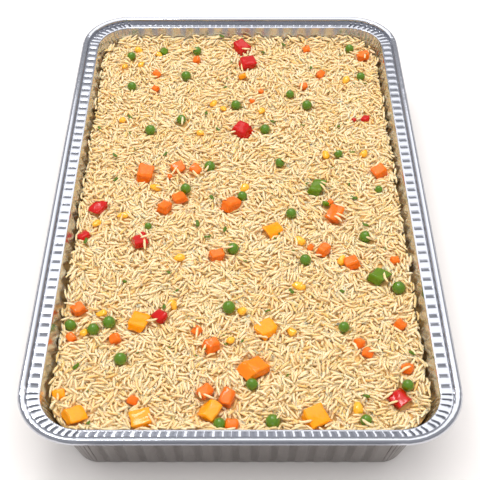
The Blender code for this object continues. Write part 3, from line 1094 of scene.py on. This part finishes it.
@lru_cache(maxsize=None)
def fall_of_grains():
    """Drops the grains one by one, and gives their places, their tones and the final heights."""
    settings = bpy.context.scene.foil_meal
    tray, rice = settings.tray, settings.rice
    draw = random.Random(rice.seed)
    vegetables = tuple(sorted(
        item.name for item in bpy.data.objects
        if item.name.endswith(("peas", "carrot_dice", "sweetcorn", "_pepper_pieces"))
    ))
    heap = heap_map()
    tops = scan_from_above(vegetables)
    covered = tops > heap - 0.5 * MM
    beside = blur(covered.astype(float), np.ones_like(heap), 5) > 0.03
    cells_x = (np.arange(CELLS_X) + 0.5 - CELLS_X / 2) * CELL
    cells_y = (np.arange(CELLS_Y) + 0.5 - CELLS_Y / 2) * CELL
    heap = heap + wall_rise(*np.meshgrid(cells_x, cells_y))
    heights = heap - rice.layer

    def hollow(spot):
        column, row = cell_of(*spot)
        return heap[row, column] - heights[row, column] - 9 * covered[row, column]

    sample = np.linspace(-0.46, 0.46, 9)
    fine = np.linspace(-0.48, 0.48, 23)
    places, tones = [], []
    tries = 0
    while len(places) < rice.grains and tries < rice.grains * TRIES:
        tries += 1
        # Of three spots, the grain slides to the one with the deepest hollow.
        spots = [
            (draw.uniform(-FALL_X, FALL_X), draw.uniform(-FALL_Y, FALL_Y)) for _ in range(3)
        ]
        x, y = max(spots, key=hollow)
        swirl = 5.0 * noise.noise(Vector((x, y, 7)) / FLOW)
        turn = swirl + draw.gauss(0, 0.6) if draw.random() < 0.72 else draw.uniform(0, math.pi)
        size = rice.grain * draw.triangular(0.72, 1.25, 1.0)
        thick = rice.thickness * draw.uniform(0.86, 1.12)
        cos, sin = math.cos(turn), math.sin(turn)
        columns, rows = cell_of(x + sample * size * cos, y + sample * size * sin)
        hits = int(covered[rows, columns].sum())
        on_top = 2 < hits < 7 and draw.random() < 0.012
        if hits > 1 and not on_top:
            continue
        below = np.maximum(heights, tops) if on_top else heights
        level, slope = settle(below, columns, rows, sample * size)
        slope += draw.gauss(0, 0.1)
        if draw.random() < 0.12:
            slope += draw.choice((-1, 1)) * draw.uniform(0.25, 0.6)
            level -= 0.25 * thick
        tilt = math.atan(slope)
        level += 0.32 * thick
        reach = size / 2 * math.cos(tilt)
        rise = size / 2 * math.sin(tilt)
        ends = [(x + s * reach * cos, y + s * reach * sin, level + s * rise) for s in (-1, 1)]
        if not all(inside_tray(tray, *end, 0.5 * MM) for end in ends):
            continue
        if not inside_tray(tray, x, y, level, 1.1 * MM):
            continue
        # The bed's grains are pressed in among each other, and the last ones lie loose on it.
        column, row = cell_of(x, y)
        if len(places) < rice.bed:
            level = min(level, heap[row, column] - rice.layer * draw.uniform(0.4, 0.8))
        elif not on_top:
            if level > heap[row, column] + (CAP_BESIDE if beside[row, column] else CAP):
                continue
        turned = Matrix.Rotation(draw.uniform(0, math.tau), 4, "X")
        tilted = Euler((0, -tilt, turn)).to_matrix().to_4x4()
        sized = Matrix.Diagonal((size, thick, thick, 1.0))
        place = Matrix.Translation((x, y, level)) @ tilted @ turned @ sized
        places.append((draw.randrange(5), place))
        patch = noise.noise(Vector((x, y, 3)) / PATCH)
        lump = noise.noise(Vector((x, y, 11)) / LUMP)
        tones.append(min(1.0, max(0.0, draw.gauss(0.28, 0.17) + 0.25 * patch + 0.35 * lump)))
        if draw.random() < 0.05:
            tones[-1] = draw.uniform(0.7, 1.0)
        crown = level + fine * size * slope + 0.42 * thick
        for shift in (0.0, -0.75 * MM, 0.75 * MM):
            along_x = x + fine * size * cos - shift * sin
            along_y = y + fine * size * sin + shift * cos
            columns, rows = cell_of(along_x, along_y)
            heights[rows, columns] = np.maximum(heights[rows, columns], crown - abs(shift) * 0.4)
    return places, tones, heights


class MEAL_OT_rice_grains(bpy.types.Operator):
    """Adds the loose grains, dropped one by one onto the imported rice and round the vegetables"""

    bl_idname = "meal.rice_grains"
    bl_label = "Rice grains"

    def execute(self, context):
        places, tones, _ = fall_of_grains()
        prototypes = [
            grain_prototype(bend, taper)
            for bend, taper in ((0.2, 0.2), (0.45, -0.1), (-0.35, 0.25), (0.7, 0.1), (-0.1, 0.0))
        ]
        order = sorted(range(len(places)), key=lambda number: tones[number])
        finish = grain_material(context.scene.foil_meal.food)
        names = ("palest", "pale", "ivory", "straw", "golden")
        share = -(-len(order) // len(names))
        for part, name in enumerate(names):
            chosen = order[part * share:(part + 1) * share]
            item = scatter(
                f"rice_{name}", prototypes, [places[n] for n in chosen], finish,
                [tones[n] for n in chosen],
            )
            finish_piece(item, "rice", "rice")
        remove(prototypes)
        return {"FINISHED"}


class MEAL_OT_herbs(bpy.types.Operator):
    """Adds the flecks of chopped herb"""

    bl_idname = "meal.herbs"
    bl_label = "Herbs"

    def execute(self, context):
        draw = random.Random(61)
        deselect_all()
        bpy.ops.mesh.primitive_plane_add(size=1.0)
        leaf = context.object
        bpy.ops.object.mode_set(mode="EDIT")
        bpy.ops.mesh.subdivide(number_cuts=3)
        bpy.ops.object.mode_set(mode="OBJECT")
        for vertex in leaf.data.vertices:
            x, y, _ = vertex.co
            edge = 1 - 0.45 * abs(2 * x) ** 2
            vertex.co = (x, y * edge * 0.55, 0.22 * x * x - 0.25 * y * y + 0.08 * math.sin(9 * x))
        shell = leaf.modifiers.new("leaf", "SOLIDIFY")
        shell.thickness = 0.07
        apply_modifiers(leaf)
        # Chopped coriander, dark and a little wilted.
        finish = vegetable_material(
            "chopped_coriander", context.scene.foil_meal.food.herb, 0.4, 0.3, 400.0, 0.0002, 0.1
        )
        spots = [(x, y, draw.uniform(4.5, 7.0)) for x, y in HERBS]
        for _ in range(70):
            spots.append((draw.uniform(-132, 132), draw.uniform(-235, 235), draw.uniform(1.6, 3.4)))
        places = []
        heights = fall_of_grains()[2]
        spread = np.array((-0.3, 0.3))
        for x, y, size in spots:
            x, y, size = x * MM, y * MM, size * MM
            turn = lying_turn(draw, 0.4)
            columns, rows = cell_of(x + spread * size, y + spread * size)
            level = heights[rows.min():rows.max() + 1, columns.min():columns.max() + 1].max()
            places.append((0, place_matrix(x, y, float(level), turn, size)))
        item = scatter("herb_flecks", [leaf], places, finish)
        remove([leaf])
        finish_piece(item, "green_pepper")
        return {"FINISHED"}


def add_softbox(name, place, size, power, lean=0):
    """A rectangular light that shines down, or leans forward by some degrees."""
    deselect_all()
    bpy.ops.object.light_add(
        type="AREA", location=place, rotation=(math.radians(lean), 0, 0)
    )
    light = bpy.context.object
    light.name = name
    light.data.shape = "RECTANGLE"
    light.data.size, light.data.size_y = size
    light.data.energy = power
    return light


class MEAL_OT_stage(bpy.types.Operator):
    """Adds the white table, the studio light and the camera"""

    bl_idname = "meal.stage"
    bl_label = "Stage"

    def execute(self, context):
        stage = context.scene.foil_meal.stage
        deselect_all()
        bpy.ops.mesh.primitive_plane_add(size=6.0, location=(0, 0, 0))
        table = context.object
        table.name = "table"
        # White coated card, smooth and matt.
        made, tree, shader, _ = new_material("white_card")
        fill_sockets(tree, shader, {
            "Base Color": opaque(linear("#F8F3EF")), "Roughness": 0.7, "Specular IOR Level": 0.2,
        })
        table.data.materials.append(made)
        # The softbox stands behind the tray and reaches over it: the foil's flat faces mirror it,
        # and its slopes look past it into the grey room.
        add_softbox("softbox", (0, 0.9, 1.5), (1.2, 2.0), stage.softbox)
        add_softbox("key", (-0.35, 0.55, 1.4), (0.3, 0.3), stage.key)
        # The fills stand for white walls and ceiling, which the foil is too dented to show.
        fill = add_softbox("fill", (0, -0.1, 1.6), (3.2, 1.7), stage.fill)
        fill.visible_glossy = False
        front = add_softbox("front_fill", (0, -0.9, 1.25), (2.2, 1.0), stage.front, 37)
        front.visible_glossy = False
        world = bpy.data.worlds.new("studio")
        world.use_nodes = True
        background = world.node_tree.nodes["Background"]
        background.inputs["Color"].default_value = opaque(linear("#F8F9FF"))
        background.inputs["Strength"].default_value = stage.room
        context.scene.world = world
        deselect_all()
        bpy.ops.object.camera_add(
            location=(0, -stage.distance, stage.height),
            rotation=(math.radians(90) - stage.tilt, 0, 0),
        )
        camera = context.object
        camera.data.lens = stage.lens
        camera.data.sensor_width = 36.0
        context.scene.camera = camera
        context.scene.view_settings.view_transform = "Standard"
        return {"FINISHED"}


OPERATORS = (
    MEAL_OT_foil_tray, MEAL_OT_peas, MEAL_OT_carrot, MEAL_OT_corn, MEAL_OT_peppers,
    MEAL_OT_rice_core, MEAL_OT_rice_grains, MEAL_OT_herbs, MEAL_OT_stage,
)


class MEAL_PT_pieces(bpy.types.Panel):
    """Lists the pieces of the tray meal"""

    bl_label = "Foil tray meal"
    bl_idname = "MEAL_PT_pieces"
    bl_space_type = "VIEW_3D"
    bl_region_type = "UI"
    bl_category = "Tray meal"

    def draw(self, context):
        for operator in OPERATORS:
            self.layout.operator(operator.bl_idname)
        for group in ("tray", "rice", "food", "stage"):
            settings = getattr(context.scene.foil_meal, group)
            box = self.layout.box()
            for name in settings.__annotations__:
                box.prop(settings, name)


CLASSES = (
    TraySizes, RiceSizes, FoodColours, StageLight, MealSettings, *OPERATORS, MEAL_PT_pieces,
)


def register():
    for item in CLASSES:
        bpy.utils.register_class(item)
    bpy.types.Scene.foil_meal = PointerProperty(type=MealSettings)


def unregister():
    del bpy.types.Scene.foil_meal
    for item in reversed(CLASSES):
        bpy.utils.unregister_class(item)


def main():
    register()
    # Without a seed of its own, Blender shifts its noise vectors by the time of day.
    noise.seed_set(4)
    bpy.ops.meal.foil_tray()
    bpy.ops.meal.peas()
    bpy.ops.meal.carrot()
    bpy.ops.meal.corn()
    bpy.ops.meal.peppers()
    bpy.ops.meal.rice_core()
    bpy.ops.meal.rice_grains()
    bpy.ops.meal.herbs()
    bpy.ops.meal.stage()


if __name__ == "__main__":
    main()
